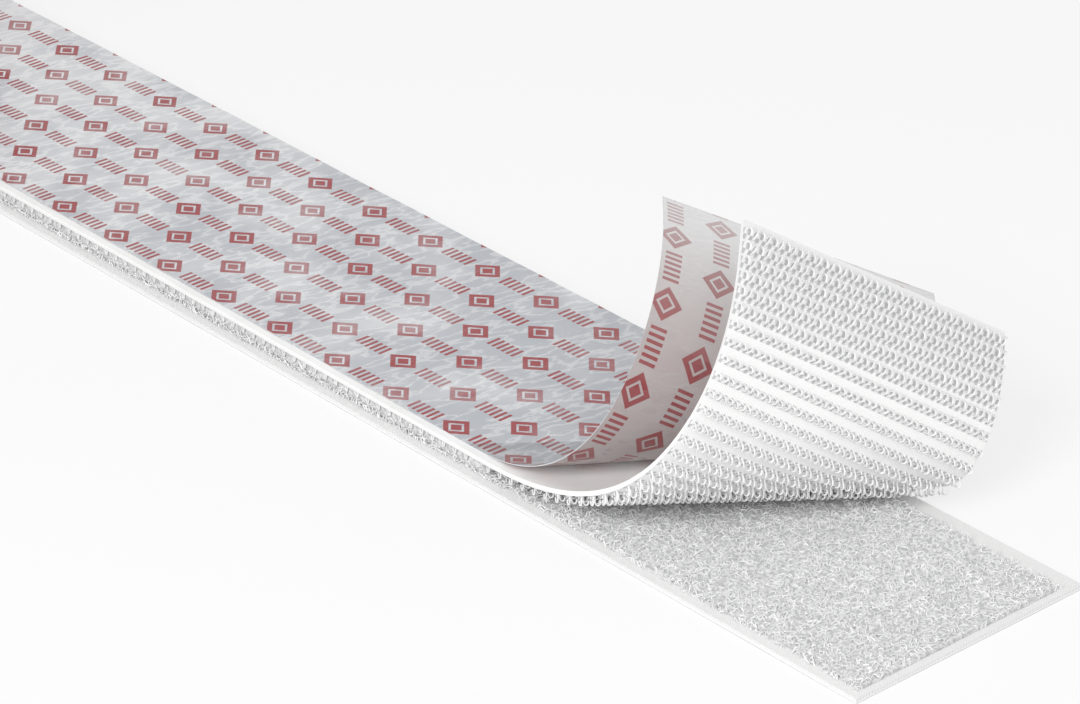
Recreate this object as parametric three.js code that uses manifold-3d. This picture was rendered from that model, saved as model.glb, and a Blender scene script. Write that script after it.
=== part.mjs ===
// Hook and loop tape, 50 mm wide, on a card core. The tape leaves the roll along the table with its two
// halves pressed together, and at the free end the hook half is peeled up off the loop half, with the
// release film peeled off the adhesive behind it.
//
// Frame: +X along the tape to its free end, +Y to the far edge, +Z up. The origin is on the table, in the
// middle of the flat strip's underside. Millimetres.
import * as THREE from 'three';
import Module from 'manifold-3d';

const wasm = await Module();
wasm.setup();

// Tape widths and places across
const TAPE_WIDTH = 50;
const LOOP_SELVEDGE = 2.2;
const HOOK_SELVEDGE = 1.6;
const HOOK_TAPE_SHIFT = 1.2;
const FILM_INSET = 1.4;

// Layer thicknesses
const FILM = 0.15;
const ADHESIVE = 0.2;
const BACKING = 0.6;
const PILE_HEIGHT = 1.2;
const HOOK_HEIGHT = 1.45;
const MATED_CLEARANCE = 0.3;

// Roll and flat strip
const FLAT_LENGTH = 320;
const CORE_BORE = 50;
const CORE_WALL = 2.5;
const CORE_CLEARANCE = 0.3;
const TURN_CLEARANCE = 0.45;
const CLIMBS = 2;
const STEPS_PER_TURN = 18;
const CLIMB_STEPS = 3;
const STEPS_TO_CLIMB = 8;
const CORE_END_GAP = 3;
const CORE_SIDES = 40;

// Peeled hook tape: where its lift-off line crosses the centreline, measured back from the free end, how far
// that slanting line runs along the tape from edge to edge, and how sharply the tape bends at equal steps to
// its end, in degrees per free length
const HOOK_FREE_LENGTH = 61;
const HOOK_LIFT_LEAD = 52;
const HOOK_BENDS = [59, 140, 227, 189, 94.5, 0];
const HOOK_LEAD_SHARES = [1, 0.55, 0.24, 0.08, 0];
const HOOK_CUTS = [0, 0.15, 0.32, 0.55, 1];

// Peeled film: it lifts off a little behind the hook tape and ends a little short of it
const FILM_LIFT_BEHIND = 9;
const FILM_LIFT_LEAD = 39;
const FILM_END_SHORT = 8;
const FILM_BENDS = [142, 234, 240, 178, 87, 0];
const FILM_LEAD_SHARES = [1, 0.58, 0.36, 0.1, 0];
const FILM_CUTS = [0, 0.34, 0.62, 1];

// Folds between the rigid pieces of a peeled sheet
const FOLD_GAP = 0.5;
const FACETS_PER_RIGHT_ANGLE = 6;
const SHEET_SAMPLES = 400;

// Hooks on the peeled end: a three-sided stem with a bent-over point
const HOOK_COLUMNS = 17;
const HOOK_ROW_PITCH = 2.9;
const HOOK_STEM_RADIUS = 0.24;
const HOOK_STEM_CORNERS = 3;
const HOOK_STEM_SHARE = 0.72;
const HOOK_REACH = 0.85;
const HOOK_SINK = 0.2;
const HOOK_FOLD_MARGIN = 1.3;
const HOOK_END_MARGIN = 1.5;

const half = (value) => value / 2;

// Heights of the layers over the table, from the bottom film up
const loopAdhesiveZ = FILM;
const loopBackingZ = loopAdhesiveZ + ADHESIVE;
const loopPileZ = loopBackingZ + BACKING;
const hookFieldZ = loopPileZ + PILE_HEIGHT + MATED_CLEARANCE;
const hookBackingZ = hookFieldZ + HOOK_HEIGHT;
const hookAdhesiveZ = hookBackingZ + BACKING;
const hookFilmZ = hookAdhesiveZ + ADHESIVE;
const stackHeight = hookFilmZ + FILM;

const freeEndX = half(FLAT_LENGTH);
const rollX = -half(FLAT_LENGTH);
const pitch = stackHeight + TURN_CLEARANCE;
const coreRadius = half(CORE_BORE) + CORE_WALL;
// The winding's corners stand out far enough for its flats to clear the core.
const innerRadius = (coreRadius + CORE_CLEARANCE) / Math.cos(Math.PI / STEPS_PER_TURN);
const rollRadius = innerRadius + stackHeight + CLIMBS * pitch;

const finish = (color, roughness, metalness = 0) => new THREE.MeshStandardMaterial({ color, roughness, metalness });
const WOVEN_WHITE = finish(0xf2f2f0, 0.85);
const PILE_WHITE = finish(0xe2e3e3, 0.95);
const ADHESIVE_WHITE = finish(0xf4f5f2, 0.35);
const SILVER_FILM = finish(0xc4c8ce, 0.3);
const CARD = finish(0xb59a74, 0.9);

const part = new THREE.Group();
part.name = 'hook_and_loop_tape_roll';

function addMesh(name, geometry, material) {
  const mesh = new THREE.Mesh(geometry, material);
  mesh.name = name;
  part.add(mesh);
  return mesh;
}

// A closed band lofted through stations. Each station is four points: near and far edge of the lower face,
// near and far edge of the upper face.
function bandGeometry(stations) {
  const positions = stations.flatMap((station) => station.flatMap((point) => point.toArray()));
  const index = [];
  const quad = (a, b, c, d) => index.push(a, b, c, a, c, d);
  const [LOW_NEAR, LOW_FAR, HIGH_NEAR, HIGH_FAR, STATION_POINTS] = [0, 1, 2, 3, 4];
  for (let i = 0; i + 1 < stations.length; i += 1) {
    const from = STATION_POINTS * i;
    const to = from + STATION_POINTS;
    quad(from + HIGH_NEAR, to + HIGH_NEAR, to + HIGH_FAR, from + HIGH_FAR);
    quad(from + LOW_NEAR, from + LOW_FAR, to + LOW_FAR, to + LOW_NEAR);
    quad(from + LOW_NEAR, to + LOW_NEAR, to + HIGH_NEAR, from + HIGH_NEAR);
    quad(from + LOW_FAR, from + HIGH_FAR, to + HIGH_FAR, to + LOW_FAR);
  }
  const last = STATION_POINTS * (stations.length - 1);
  quad(LOW_NEAR, HIGH_NEAR, HIGH_FAR, LOW_FAR);
  quad(last + LOW_NEAR, last + LOW_FAR, last + HIGH_FAR, last + HIGH_NEAR);
  const geometry = new THREE.BufferGeometry();
  geometry.setAttribute('position', new THREE.Float32BufferAttribute(positions, 3));
  geometry.setIndex(index);
  geometry.computeVertexNormals();
  return geometry;
}

// Winding: the tape runs back from the table round the roll, and climbs one pitch inwards in each turn, just
// past the place where its inner end lies on the core.
const climbTurns = CLIMB_STEPS / STEPS_PER_TURN;
const turnsToClimb = STEPS_TO_CLIMB / STEPS_PER_TURN;
const coreEndTurns = CLIMBS + turnsToClimb - CORE_END_GAP / (2 * Math.PI * innerRadius);

function windingRadius(turns) {
  const climbed = turns - turnsToClimb;
  const whole = Math.floor(climbed);
  const within = THREE.MathUtils.smoothstep(climbed - whole, 0, climbTurns);
  return rollRadius - pitch * Math.max(0, whole + within);
}

function windingPoint(turns, depth, y) {
  const angle = 2 * Math.PI * turns;
  const radius = windingRadius(turns) - depth;
  return new THREE.Vector3(rollX - radius * Math.sin(angle), y, rollRadius - radius * Math.cos(angle));
}

const windingTurns = [coreEndTurns];
for (let step = Math.ceil(coreEndTurns * STEPS_PER_TURN) - 1; step >= 0; step -= 1) {
  windingTurns.push(step / STEPS_PER_TURN);
}

// The least distance between one turn's inner face and the next turn's outer face, measured on points.
function leastTurnGap() {
  const outer = windingTurns.map((turns) => windingPoint(turns, 0, 0));
  const edge = new THREE.Line3();
  const nearest = new THREE.Vector3();
  let least = Infinity;
  for (const turns of windingTurns) {
    const inner = windingPoint(turns, stackHeight, 0);
    for (let i = 0; i + 1 < outer.length; i += 1) {
      if (windingTurns[i + 1] - turns < half(1)) continue;
      edge.set(outer[i], outer[i + 1]).closestPointToPoint(inner, true, nearest);
      least = Math.min(least, nearest.distanceTo(inner));
    }
  }
  return least;
}

// One layer of the tape from the core to its end on the strip. endX(y) is where that end lies at an edge.
function layer(name, material, z, thickness, nearY, farY, endX) {
  const wound = windingTurns.map((turns) => [
    windingPoint(turns, z, nearY),
    windingPoint(turns, z, farY),
    windingPoint(turns, z + thickness, nearY),
    windingPoint(turns, z + thickness, farY),
  ]);
  const end = [
    new THREE.Vector3(endX(nearY), nearY, z),
    new THREE.Vector3(endX(farY), farY, z),
    new THREE.Vector3(endX(nearY), nearY, z + thickness),
    new THREE.Vector3(endX(farY), farY, z + thickness),
  ];
  addMesh(name, bandGeometry([...wound, end]), material);
}

// A sheet that bends up off the strip without stretching. Straight rulings cross it, slanted at the lift-off
// line and square at the free end, and it bends about each in turn. x is measured along the unbent sheet from
// the lift-off line on the centreline, and w across it from the centreline.
class PeeledSheet {
  constructor({ liftX, centreY, z, width, length, lead, bends, leadShares }) {
    Object.assign(this, { length, width });
    this.step = length / SHEET_SAMPLES;
    const stationValue = (values, share) => {
      const place = share * (values.length - 1);
      const index = Math.min(Math.floor(place), values.length - 2);
      return THREE.MathUtils.lerp(values[index], values[index + 1], place - index);
    };
    const curvatures = bends.map((degrees) => THREE.MathUtils.degToRad(degrees) / length);
    const along = new THREE.Vector3(1, 0, 0);
    const across = new THREE.Vector3(0, 1, 0);
    const centre = new THREE.Vector3(liftX, centreY, z);
    this.samples = [];
    let bend = 0;
    for (let i = 0; i <= SHEET_SAMPLES; i += 1) {
      const share = i / SHEET_SAMPLES;
      const slope = (lead / width) * stationValue(leadShares, share);
      const normal = along.clone().cross(across);
      this.samples.push({ slope, bend, centre: centre.clone(), along: along.clone(), across: across.clone(), normal });
      const turn = stationValue(curvatures, share) * Math.hypot(1, slope) * this.step;
      const axis = across.clone().addScaledVector(along, slope).normalize();
      along.applyAxisAngle(axis, half(-turn));
      centre.addScaledVector(along, this.step);
      along.applyAxisAngle(axis, half(-turn));
      across.applyAxisAngle(axis, -turn);
      bend += turn;
    }
  }

  // Sheet x where the ruling at a share of the free length meets the line w.
  rulingX(share, w) {
    return share * this.length + w * this.sampleAt(share).slope;
  }

  sampleAt(share) {
    return this.samples[Math.round(share * SHEET_SAMPLES)];
  }

  // The sheet's point at (x, w), with its normal and its directions along and across.
  at(x, w) {
    let low = 0;
    let high = SHEET_SAMPLES;
    const reach = (i) => i * this.step + w * this.samples[i].slope;
    while (high - low > 1) {
      const middle = (low + high) >> 1;
      if (reach(middle) <= x) low = middle;
      else high = middle;
    }
    const share = (x - reach(low)) / (reach(high) - reach(low));
    const [before, after] = [this.samples[low], this.samples[high]];
    const mix = (key) => before[key].clone().lerp(after[key], share);
    const slope = THREE.MathUtils.lerp(before.slope, after.slope, share);
    const along = mix('along').normalize();
    const across = mix('across').normalize();
    const point = mix('centre').addScaledVector(across, w).addScaledVector(along, w * slope);
    return { point, along, across, normal: mix('normal').normalize() };
  }

  // Shares of the rulings between two cuts that bound the flat facets of a rigid piece.
  facetShares(fromShare, toShare) {
    const bend = this.sampleAt(toShare).bend - this.sampleAt(fromShare).bend;
    const steps = Math.ceil((bend / half(Math.PI)) * FACETS_PER_RIGHT_ANGLE);
    return Array.from({ length: steps + 1 }, (_, i) => THREE.MathUtils.lerp(fromShare, toShare, i / steps));
  }

  // The place at (x, w) on the facets of a rigid piece, straight between the rulings before and after it.
  onFacet(shares, x, w) {
    const edges = shares.map((share) => this.rulingX(share, w));
    const after = Math.max(1, edges.findIndex((edge) => edge >= x));
    const [low, high] = [edges[after - 1], edges[after]];
    const point = this.at(low, w).point.lerp(this.at(high, w).point, (x - low) / (high - low));
    return { ...this.at(x, w), point };
  }

  // One rigid piece between two cuts, from low to high along the normal.
  piece(fromShare, toShare, low, high) {
    const edges = [-half(this.width), half(this.width)];
    const lifted = (place, height) => place.point.clone().addScaledVector(place.normal, height);
    const stations = this.facetShares(fromShare, toShare).map((share) => {
      let inset = 0;
      if (share === fromShare) inset = half(FOLD_GAP);
      if (share === toShare && toShare < 1) inset = -half(FOLD_GAP);
      const [near, far] = edges.map((w) => this.at(this.rulingX(share, w) + inset, w));
      return [lifted(near, low), lifted(far, low), lifted(near, high), lifted(far, high)];
    });
    return bandGeometry(stations);
  }

  // The line that a piece folds about, and how far the sheet bends from one cut to the next.
  fold(fromShare, toShare) {
    const [near, far] = [-1, 1].map((side) => {
      const w = side * half(this.width);
      return this.at(this.rulingX(fromShare, w), w).point;
    });
    return { near, far, bend: this.sampleAt(toShare).bend - this.sampleAt(fromShare).bend };
  }
}

// Joined solids for the hooks
function toManifold(geometry) {
  const vertProperties = Float32Array.from(geometry.attributes.position.array);
  const triVerts = Uint32Array.from(geometry.index.array);
  return new wasm.Manifold(new wasm.Mesh({ numProp: 3, vertProperties, triVerts }));
}

function fromManifold(solid) {
  const { vertProperties, triVerts } = solid.getMesh();
  const geometry = new THREE.BufferGeometry();
  geometry.setAttribute('position', new THREE.BufferAttribute(vertProperties, 3));
  geometry.setIndex(new THREE.BufferAttribute(triVerts, 1));
  geometry.computeVertexNormals();
  return geometry;
}

// One hook standing on the sheet's lower face: a three-sided stem that narrows into a point bent over sideways.
function addHook({ point, normal, along, across }, side, positions, index) {
  const place = (height, reach) => point
    .clone()
    .addScaledVector(normal, -half(BACKING) - height)
    .addScaledVector(across, side * reach);
  const first = positions.length / 3;
  for (const height of [-HOOK_SINK, HOOK_HEIGHT * HOOK_STEM_SHARE]) {
    for (let corner = 0; corner < HOOK_STEM_CORNERS; corner += 1) {
      const angle = (2 * Math.PI * corner) / HOOK_STEM_CORNERS;
      const vertex = place(height, HOOK_STEM_RADIUS * Math.cos(angle));
      vertex.addScaledVector(along, side * HOOK_STEM_RADIUS * Math.sin(angle));
      positions.push(...vertex.toArray());
    }
  }
  positions.push(...place(HOOK_HEIGHT, HOOK_REACH).toArray());
  const tip = first + 2 * HOOK_STEM_CORNERS;
  index.push(first, first + 2, first + 1);
  for (let corner = 0; corner < HOOK_STEM_CORNERS; corner += 1) {
    const next = (corner + 1) % HOOK_STEM_CORNERS;
    const [a, b] = [first + corner, first + next];
    const [topA, topB] = [a + HOOK_STEM_CORNERS, b + HOOK_STEM_CORNERS];
    index.push(a, b, topA, b, topB, topA, topA, topB, tip);
  }
}

// The hooks of one piece, in rows square to the tape's edges, clear of the folds and of the bare edges.
function hooksBetween(sheet, fromShare, toShare) {
  const positions = [];
  const index = [];
  const fieldWidth = sheet.width - 2 * (HOOK_SELVEDGE + HOOK_REACH);
  const columnPitch = fieldWidth / (HOOK_COLUMNS - 1);
  const lastRowX = sheet.length - HOOK_END_MARGIN;
  const rows = Math.floor((lastRowX + half(HOOK_LIFT_LEAD)) / HOOK_ROW_PITCH);
  const shares = sheet.facetShares(fromShare, toShare);
  let count = 0;
  for (let row = 0; row <= rows; row += 1) {
    const x = lastRowX - row * HOOK_ROW_PITCH;
    for (let column = 0; column < HOOK_COLUMNS; column += 1) {
      const w = column * columnPitch - half(fieldWidth);
      const clearStart = x > sheet.rulingX(fromShare, w) + HOOK_FOLD_MARGIN;
      const clearEnd = toShare === 1 || x < sheet.rulingX(toShare, w) - HOOK_FOLD_MARGIN;
      if (!clearStart || !clearEnd) continue;
      addHook(sheet.onFacet(shares, x, w), column % 2 === 0 ? 1 : -1, positions, index);
      count += 1;
    }
  }
  const geometry = new THREE.BufferGeometry();
  geometry.setAttribute('position', new THREE.Float32BufferAttribute(positions, 3));
  geometry.setIndex(index);
  return { geometry, count };
}

// Card core, its axis along Y
const coreProfile = [
  [half(CORE_BORE), -half(TAPE_WIDTH)],
  [coreRadius, -half(TAPE_WIDTH)],
  [coreRadius, half(TAPE_WIDTH)],
  [half(CORE_BORE), half(TAPE_WIDTH)],
  [half(CORE_BORE), -half(TAPE_WIDTH)],
].map(([radius, y]) => new THREE.Vector2(radius, y));
const core = addMesh('core_tube', new THREE.LatheGeometry(coreProfile, CORE_SIDES), CARD);
core.position.set(rollX, 0, rollRadius);

// Loop half, from the core to the square-cut end
const loopNear = -half(TAPE_WIDTH);
const loopFar = half(TAPE_WIDTH);
const squareEnd = () => freeEndX;
layer('loop_film', SILVER_FILM, 0, FILM, loopNear, loopFar, squareEnd);
layer('loop_adhesive', ADHESIVE_WHITE, loopAdhesiveZ, ADHESIVE, loopNear, loopFar, squareEnd);
layer('loop_backing', WOVEN_WHITE, loopBackingZ, BACKING, loopNear, loopFar, squareEnd);
layer('loop_pile', PILE_WHITE, loopPileZ, PILE_HEIGHT, loopNear + LOOP_SELVEDGE, loopFar - LOOP_SELVEDGE, squareEnd);

// Hook half, from the core to its slanting lift-off line
const hookNear = loopNear + HOOK_TAPE_SHIFT;
const hookFar = loopFar + HOOK_TAPE_SHIFT;
const hookCentre = half(hookNear + hookFar);
const hookLiftX = freeEndX - HOOK_FREE_LENGTH;
const hookEnd = (y) => hookLiftX + ((y - hookCentre) * HOOK_LIFT_LEAD) / TAPE_WIDTH - half(FOLD_GAP);
layer('hook_field', PILE_WHITE, hookFieldZ, HOOK_HEIGHT, hookNear + HOOK_SELVEDGE, hookFar - HOOK_SELVEDGE, hookEnd);
layer('hook_backing', WOVEN_WHITE, hookBackingZ, BACKING, hookNear, hookFar, hookEnd);
layer('hook_adhesive', ADHESIVE_WHITE, hookAdhesiveZ, ADHESIVE, hookNear, hookFar, hookEnd);

const filmNear = hookNear + FILM_INSET;
const filmWidth = hookFar - filmNear;
const filmCentre = half(filmNear + hookFar);
const filmLiftX = hookLiftX - FILM_LIFT_BEHIND;
const filmEnd = (y) => filmLiftX + ((y - filmCentre) * FILM_LIFT_LEAD) / filmWidth - half(FOLD_GAP);
layer('hook_film', SILVER_FILM, hookFilmZ, FILM, filmNear, hookFar, filmEnd);

// Peeled hook tape: backing with its hooks, and the adhesive coat on its back
const hookSheet = new PeeledSheet({
  liftX: hookLiftX,
  centreY: hookCentre,
  z: hookBackingZ + half(BACKING),
  width: TAPE_WIDTH,
  length: HOOK_FREE_LENGTH,
  lead: HOOK_LIFT_LEAD,
  bends: HOOK_BENDS,
  leadShares: HOOK_LEAD_SHARES,
});
let hookCount = 0;
for (let i = 0; i + 1 < HOOK_CUTS.length; i += 1) {
  const [from, to] = [HOOK_CUTS[i], HOOK_CUTS[i + 1]];
  const backing = toManifold(hookSheet.piece(from, to, -half(BACKING), half(BACKING)));
  const hooks = hooksBetween(hookSheet, from, to);
  hookCount += hooks.count;
  const tape = addMesh(`hook_flap_${i + 1}`, fromManifold(backing.add(toManifold(hooks.geometry))), WOVEN_WHITE);
  tape.userData.fold = hookSheet.fold(from, to);
  const coat = hookSheet.piece(from, to, half(BACKING), half(BACKING) + ADHESIVE);
  addMesh(`hook_flap_adhesive_${i + 1}`, coat, ADHESIVE_WHITE);
}

// Peeled film
const filmSheet = new PeeledSheet({
  liftX: filmLiftX,
  centreY: filmCentre,
  z: hookFilmZ + half(FILM),
  width: filmWidth,
  length: HOOK_FREE_LENGTH + FILM_LIFT_BEHIND - FILM_END_SHORT,
  lead: FILM_LIFT_LEAD,
  bends: FILM_BENDS,
  leadShares: FILM_LEAD_SHARES,
});
for (let i = 0; i + 1 < FILM_CUTS.length; i += 1) {
  const [from, to] = [FILM_CUTS[i], FILM_CUTS[i + 1]];
  const film = addMesh(`film_flap_${i + 1}`, filmSheet.piece(from, to, -half(FILM), half(FILM)), SILVER_FILM);
  film.userData.fold = filmSheet.fold(from, to);
}

console.log(`least gap between turns ${leastTurnGap().toFixed(3)} mm, ${hookCount} hooks`);

export default part;
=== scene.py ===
"""Looks of a hook and loop tape that comes off its card core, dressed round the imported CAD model.

The loop half lies on the table with the hook half pressed on it. At the free end the hook half is peeled up,
and its release film is peeled off behind it. Lengths are in metres, in the frame of the CAD model.
"""

import logging
import math
from collections.abc import Callable
from dataclasses import dataclass, field
from enum import Enum

import bpy
import numpy as np
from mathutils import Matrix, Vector

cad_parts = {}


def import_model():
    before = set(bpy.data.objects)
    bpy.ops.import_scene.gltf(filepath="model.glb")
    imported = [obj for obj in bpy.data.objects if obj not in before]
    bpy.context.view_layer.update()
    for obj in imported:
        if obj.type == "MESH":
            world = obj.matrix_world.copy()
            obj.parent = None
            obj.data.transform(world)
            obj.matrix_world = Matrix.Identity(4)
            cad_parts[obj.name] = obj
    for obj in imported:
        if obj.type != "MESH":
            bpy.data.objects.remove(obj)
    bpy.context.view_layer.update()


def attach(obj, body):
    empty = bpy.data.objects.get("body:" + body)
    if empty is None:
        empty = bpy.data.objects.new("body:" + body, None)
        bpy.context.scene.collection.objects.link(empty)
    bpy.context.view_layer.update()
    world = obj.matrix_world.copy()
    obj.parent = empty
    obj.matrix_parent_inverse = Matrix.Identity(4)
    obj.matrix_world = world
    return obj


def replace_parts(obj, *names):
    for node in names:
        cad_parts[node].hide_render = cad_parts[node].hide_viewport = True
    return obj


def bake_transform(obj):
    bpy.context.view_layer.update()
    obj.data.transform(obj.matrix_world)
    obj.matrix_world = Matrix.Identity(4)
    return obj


LOG = logging.getLogger("tape")
MM = 0.001
TURN = 2 * math.pi
ROOT = "wound_tape"
TAPE_MAP = "tape"
SHARP_EDGE = math.radians(50)
FLAT_STEP = 8 * MM
COAT_COLUMNS = 4
NOISE_RANGE = (0.3, 0.7)
SEEING_RAYS = ("Camera", "Glossy", "Transmission")

Array = np.ndarray
Point = tuple[float, float, float]
Colour = tuple[float, float, float]
Span = tuple[float, float]
Material = bpy.types.Material
Piece = bpy.types.Object
Lift = Callable[[Array, Array], Array]


class Side(Enum):
    """The faces of the release film."""

    OUTER = "outer"
    UNDER = "under"
    EDGE = "edge"


class Slot(Enum):
    """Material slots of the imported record."""

    CARD = "card"
    FILM = "film"
    ADHESIVE = "adhesive"
    WOVEN = "woven"
    PILE = "pile"
    HOOKS = "hooks"


class Faces(Enum):
    """Which of a piece's materials its lower face, its upper face and its edges have."""

    ALIKE = (0, 0, 0)
    OUTER_BELOW = (0, 1, 2)
    OUTER_ABOVE = (1, 0, 2)
    ROOTS_BELOW = (1, 0, 0)


@dataclass
class TapeSizes:
    """Sizes of the tape and its roll, with the levels, edges and radii that follow from them."""

    width: float = 50 * MM
    loop_selvedge: float = 2.2 * MM
    hook_shift: float = 1.2 * MM
    film_inset: float = 1.4 * MM
    film: float = 0.15 * MM
    adhesive: float = 0.2 * MM
    backing: float = 0.6 * MM
    pile: float = 1.2 * MM
    pile_far_bare: float = 1.9 * MM
    pile_end_bare: float = 1.3 * MM
    hooks: float = 1.45 * MM
    mated_clearance: float = 0.3 * MM
    flat_length: float = 320 * MM
    core_bore: float = 50 * MM
    core_wall: float = 2.5 * MM
    core_clearance: float = 0.3 * MM
    turn_clearance: float = 0.45 * MM
    core_end_gap: float = 3 * MM
    climbs: int = 2
    steps_per_turn: int = 18
    climb_steps: int = 3
    steps_to_climb: int = 8

    def __post_init__(self) -> None:
        """Works out levels from the table up, places along and across the tape, and radii of the roll."""
        self.loop_backing_z = self.film + self.adhesive
        self.pile_z = self.loop_backing_z + self.backing
        self.hook_backing_z = self.pile_z + self.pile + self.mated_clearance + self.hooks
        self.hook_adhesive_z = self.hook_backing_z + self.backing
        self.hook_film_z = self.hook_adhesive_z + self.adhesive
        self.stack = self.hook_film_z + self.film
        self.roll_x = -self.flat_length / 2
        self.free_end_x = self.flat_length / 2
        self.pile_end = self.free_end_x - self.pile_end_bare
        self.loop_near, self.loop_far = -self.width / 2, self.width / 2
        self.pile_near = self.loop_near + self.loop_selvedge
        self.pile_far = self.loop_far - self.loop_selvedge - self.pile_far_bare
        self.hook_near, self.hook_far = self.loop_near + self.hook_shift, self.loop_far + self.hook_shift
        self.film_near = self.hook_near + self.film_inset
        self.core_radius = self.core_bore / 2 + self.core_wall
        half_step = math.pi / self.steps_per_turn
        self.inner_radius = (self.core_radius + self.core_clearance) / math.cos(half_step)
        self.pitch = self.stack + self.turn_clearance
        self.roll_radius = self.inner_radius + self.stack + self.climbs * self.pitch


@dataclass(frozen=True)
class PeelSizes:
    """A peeled sheet, from the line where it lifts off to its free end.

    Its bends are degrees over the free length, and its lead shares are the slant of its rulings, both at
    even stations. Its cuts are the folds of its CAD pieces, as shares of the free length.
    """

    lift_x: float
    centre_y: float
    z: float
    width: float
    length: float
    lead: float
    bends: tuple[float, ...]
    lead_shares: tuple[float, ...]
    cuts: tuple[float, ...]
    run_in: float = 3 * MM

    @property
    def borders(self) -> list[float]:
        """Shares of the free length where the scene's pieces meet, each fold inside one piece."""
        middles = [(a + b) / 2 for a, b in zip(self.cuts[:-2], self.cuts[1:-1])]
        return [-self.run_in / self.length, *middles, 1.0]

    def run_in_x(self, y: Array) -> Array:
        """Where the flat sheet ends and its first bending piece begins, at a place across the tape."""
        return self.lift_x - self.run_in + (y - self.centre_y) * self.lead / self.width


@dataclass
class Places:
    """Points of a surface with their directions and their places on the unbent tape."""

    point: Array
    along: Array
    across: Array
    normal: Array
    u: Array
    v: Array

    def beside(self, along: Array, across: Array, up: Array) -> Array:
        """Points set off from each place, places by points by 3."""
        steps = self.along[:, None] * along[..., None] + self.across[:, None] * across[..., None]
        return self.point[:, None] + steps + self.normal[:, None] * up[..., None]


def unit(vectors: Array) -> Array:
    """Vectors brought to length one."""
    return vectors / np.linalg.norm(vectors, axis=-1, keepdims=True)


def turned(vector: Array, axis: Array, angle: float) -> Array:
    """A vector turned about a unit axis by the right-hand rule."""
    cosine, sine = math.cos(angle), math.sin(angle)
    return vector * cosine + np.cross(axis, vector) * sine + axis * (axis @ vector) * (1 - cosine)


def eased(shares: Array) -> Array:
    """Shares held between 0 and 1, with a gentle start and end."""
    held = np.clip(shares, 0, 1)
    return held * held * (3 - 2 * held)


def linked(name: str, data: bpy.types.ID) -> Piece:
    """Makes an object and links it to the scene.

    Args:
        name: Its name.
        data: Its mesh, lamp or camera.

    Returns:
        The object.
    """
    made = bpy.data.objects.new(name, data)
    bpy.context.scene.collection.objects.link(made)
    return made


def aimed(name: str, data: bpy.types.ID, target: Point, back: Vector, distance: float = 1.0) -> Piece:
    """Makes a lamp or a camera that stands back from a target and faces it.

    Args:
        name: Its name.
        data: The lamp or camera.
        target: What it faces.
        back: The way from the target to it.
        distance: How many times that way it stands off.

    Returns:
        The object.
    """
    made = linked(name, data)
    made.location = Vector(target) + back * distance
    made.rotation_euler = (-back).to_track_quat("-Z", "Y").to_euler()
    return made


@dataclass(frozen=True)
class Ripple:
    """A gentle unevenness of a sheet, from waves of random length, heading and phase."""

    seed: int
    height: float = 0.12 * MM
    waves: int = 14
    lengths: Span = (7 * MM, 34 * MM)
    gain: float = 2.2

    def lift(self, u: Array, v: Array) -> Array:
        """Heights from 0 up.

        Args:
            u: Places along the tape.
            v: Places across it.

        Returns:
            The heights.
        """
        rng = np.random.default_rng(self.seed)
        lengths = rng.uniform(*self.lengths, self.waves)
        headings = rng.uniform(0, math.pi, self.waves)
        phases = rng.uniform(0, TURN, self.waves)
        total = np.zeros_like(u)
        for length, heading, phase in zip(lengths, headings, phases):
            total += np.sin(TURN * (u * math.cos(heading) + v * math.sin(heading)) / length + phase)
        return self.height * (0.5 + 0.5 * np.clip(total / self.waves * self.gain, -1, 1))


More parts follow.
